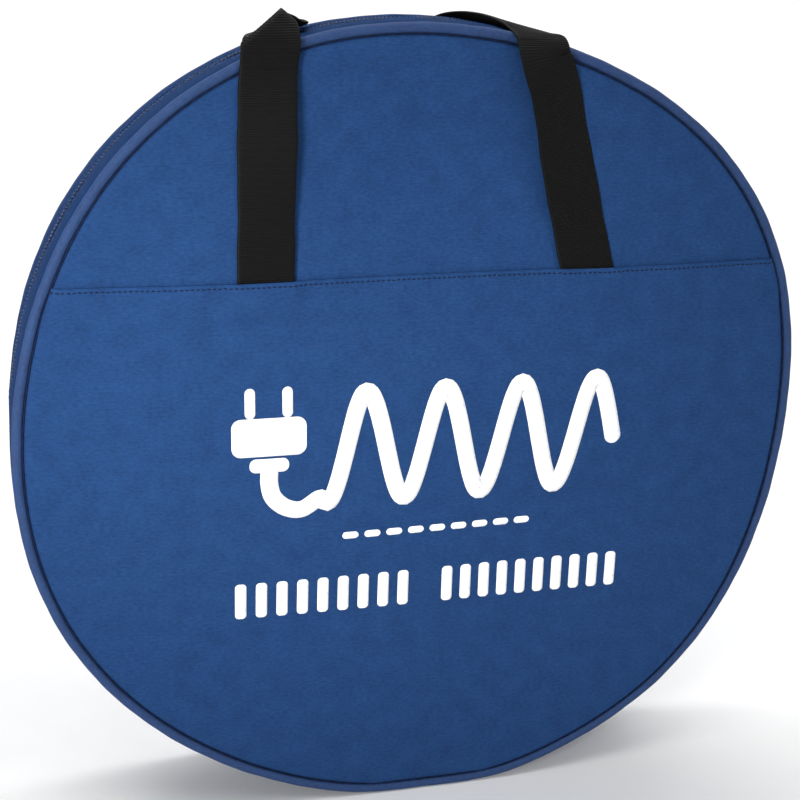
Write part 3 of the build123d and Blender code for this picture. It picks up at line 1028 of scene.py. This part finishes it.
def front_handle_sheet():
    """The whole front handle's middle surface, with a soft change from the creased left side to the
    route behind it."""
    step, fade = rib_pitch / 4, 10 * mm
    across, _ = web_section()
    rise = rim_high.z - seam_z - 3.9 * mm      # from the foot to the crease's left corner
    crossing = rise + (2 * half_web * tan(radians(36)) + 4) * mm
    count = int((crossing + fade) / step)
    length = np.arange(count) * step
    creased = left_strap(length[:, None] / mm, across[None] / mm) * mm
    start = int(crossing / step)
    rows = []
    for i, drop in ((start, 2.4), (start + int(5 * mm / step), 3.4)):
        heading = unit(creased[i, -1] - creased[i, 0]) * 0.5 + (0.88, -0.30, 0.34)
        rows.append((*((creased[i, -1] + creased[i, 0]) / 2 / mm - (0, 0, drop)), *unit(heading)))
    rows = np.array(rows + front_handle_route(), float)
    rows[:, :3] *= mm
    routed, along = webbing_sheet(rows, step)
    share = smooth(np.arange(count - start), 0, count - start - 1)[:, None, None]
    joined = creased[start:] * (1 - share) + routed[:count - start] * share
    sheet = np.concatenate([creased[:start], joined, routed[count - start:]])
    return sheet, np.arange(len(sheet)) * step


def rear_handle_route():
    """Up the rear panel from each foot, folded over, and hanging down in one long loop, in mm."""
    foot = strap_x / mm
    low = (seam_z - 9 * mm) / mm
    crest = rear_fold.z / mm
    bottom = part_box("rear_handle_loop")[0].z / mm
    lie = on_panel(-foot, crest - 24, 1)[1]
    half = [
        (*on_panel(-foot, low, 1), 1, 0, 0),
        (*on_panel(-foot, low + 30, 1), 1, 0, 0),
        (-foot, lie, crest - 24, 1, 0, 0),
        (-foot, lie + 0.1, crest - 3, 1, 0, 0),
        (-foot, lie + 1.0, crest + 0.8, 1, 0, 0),
        (-foot, lie + 2.0, crest - 3, 1, 0, 0),
        (-foot, lie + 2.2, crest - 24, 1, 0, 0),
        (-foot + 0.3, lie + 3.4, crest - 47, 1, 0, 0),
        (-foot + 1.2, 44.6, crest - 68, 1, 0, 0),
        (-foot + 5, 45.6, crest - 112, 0.96, 0.2, 0.08),
        (-foot + 15, 47.5, crest - 158, 0.8, 0.5, 0.25),
        (-foot + 34, 50.5, bottom + 28, 0.5, 0.8, 0.3),
        (-foot + 58, 53.0, bottom + 8, 0.2, 0.95, 0.15),
    ]
    middle = [(0, 53.5, bottom + 3, 0, 1, 0)]
    other = [(-x, y, z, -a, b, c) for x, y, z, a, b, c in reversed(half)]
    rows = np.array(half + middle + other, float)
    rows[:, :3] *= mm
    return rows


def webbing_piece(name, points, uv, *spans):
    """Closed lengths of webbing with flat cut ends."""
    sides = points.shape[1]
    parts = [close_ends(*quads(points[s], uv[s], closed_v=True), sides, False) for s in spans]
    return make_piece(name, parts, [webbing], weld=False, outward=True)


def make_handles():
    points, uv = thicken(*front_handle_sheet())
    behind = np.nonzero(points.mean(axis=1)[:, 1] > 0.0)[0]
    first, last = behind[0], behind[-1]
    tails = webbing_piece("front_handle_straps", points, uv, slice(0, first + 1), slice(last, None))
    loop = webbing_piece("front_handle", points, uv, slice(first, last + 1))
    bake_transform(tails)
    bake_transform(loop)
    settle(tails, "webbing", None, "front_handle_tails", "front_handle_bridge")
    settle(loop, "webbing", None, "front_handle_loop")

    points, uv = thicken(*webbing_sheet(rear_handle_route()))
    heights = points.mean(axis=1)[:, 2]
    half_way = len(heights) // 2
    first = int(np.argmax(heights[:half_way]))
    last = half_way + int(np.argmax(heights[half_way:]))
    feet = webbing_piece("rear_handle_straps", points, uv, slice(0, first + 1), slice(last, None))
    hanging = webbing_piece("rear_handle", points, uv, slice(first, last + 1))
    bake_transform(feet)
    settle(feet, "webbing", None, "rear_handle_tails")
    settle(hanging, "webbing", "rear_handle", "rear_handle_loop")


make_handles()


# ---- print: a plain plug, a cable's wave and rows of bars
def stroke(line, width, corner=None):
    """A flat ink stroke along a line of (x, z) in mm, laid on the lower front panel. Its ends are
    round, or square with a corner radius."""
    line, along = smooth_line([(x * mm, z * mm, 0) for x, z in line], 1.2 * mm)
    line, half = line[:, :2], width * mm / 2
    radius = half if corner is None else corner * mm
    forward = unit(np.gradient(line, axis=0))
    back_off = np.sin(np.linspace(pi / 2, 0, 9)[:-1])
    head = line[0] - forward[0] * (radius * back_off)[:, None]
    tail = line[-1] + forward[-1] * (radius * back_off[::-1])[:, None]
    line = np.concatenate([head, line, tail])
    forward = np.concatenate([[forward[0]] * 8, forward, [forward[-1]] * 8])
    rounded = half - radius + radius * np.sqrt(1 - back_off**2)
    reach = np.concatenate([rounded, np.full(len(along), half), rounded[::-1]])
    side = np.stack([forward[:, 1], -forward[:, 0]], axis=1)
    across = np.linspace(-1, 1, max(5, int(width / 1.5) | 1))
    flat = line[:, None] + side[:, None] * (reach[:, None] * across[None])[..., None]
    x, z = flat[..., 0], flat[..., 1] + centre_z
    y = front_y - front_lower_swell(x, z) - ink_t
    return quads(np.stack([x, y, z], axis=-1), np.stack([x + 0.5, z], axis=-1))


def make_print():
    shapes = [
        stroke([(-88, 19), (-88, 29)], 5, 2.5),
        stroke([(-70, 19), (-70, 29)], 5, 2.5),
        stroke([(-92.5, 7), (-79, 7), (-65.5, 7)], 19, 4.5),
        stroke([(-85.5, -7.2), (-79, -7.2), (-72.5, -7.2)], 7, 3),
    ]
    lead = [(-79, -10.8), (-79, -17), (-77, -24), (-71, -29.5), (-63, -31)]
    wave = [(x, -1 - 28 * cos((x + 51) * 2 * pi / 39)) for x in np.arange(-54, 99, 3)]
    shapes.append(stroke(lead + wave, 8.6))
    shapes += [stroke([(x, -47), (x + 4.5, -47)], 3.6) for x in np.linspace(-41, 48, 9)]
    groups = (np.linspace(-93, -11, 9), np.linspace(12, 100, 10))
    shapes += [stroke([(x, -86), (x, -71)], 5.6, 2.0) for group in groups for x in group]
    piece = make_piece("front_print", shapes, [ink], ink_t * 0.8)
    settle(piece, "canvas", "cover")


make_print()


# ---- studio: white paper sweep, one large soft light from the left and a weak fill
def make_studio():
    bend = [(0.9 + 0.5 * sin(a), 0.5 - 0.5 * cos(a)) for a in np.linspace(0.15, pi / 2, 10)]
    profile = [(-3.0, 0.0), (0.9, 0.0), *bend, (1.4, 3.0)]
    points = np.array([[(x, y, z) for y, z in profile] for x in (-3.5, 3.5)])
    sweep = make_piece("studio_sweep", [quads(points, points[..., :2])], [paper])
    front = Vector((0, front_y, centre_z))
    lights = (
        ("key", "SPOT", (-0.62, -0.72, 0.40), Vector((-0.10, front_y, 0.235)), (0.17, 0), 43),
        ("fill", "AREA", (1.3, -1.1, 0.9), front, (0.9, 0.9), 6.5),
        ("backdrop", "AREA", (0.0, 0.55, 2.1), Vector((0, 1.5, 0.2)), (2.6, 0.6), 34),
        ("floor", "AREA", (0.0, -0.9, 2.4), Vector((0, -0.9, 0)), (2.4, 0.8), 20),
    )
    for name, kind, place, target, size, energy in lights:
        data = bpy.data.lights.new(name, kind)
        if kind == "AREA":
            data.shape = "RECTANGLE"
            data.size, data.size_y = size
        else:
            data.spot_size = radians(39)
            data.spot_blend = 1.0
            data.shadow_soft_size = size[0]
        data.energy = energy
        lamp = add_object(name, data)
        lamp.location = place
        lamp.rotation_mode = "QUATERNION"
        lamp.rotation_quaternion = (target - Vector(place)).to_track_quat("-Z", "Y")
    world = bpy.data.worlds.new("studio")
    world.use_nodes = True
    sky = world.node_tree.nodes["Background"]
    sky.inputs[0].default_value = colour("#ffffff")
    sky.inputs[1].default_value = 0.21
    bpy.context.scene.world = world
    bpy.context.scene.view_settings.view_transform = "Standard"


make_studio()
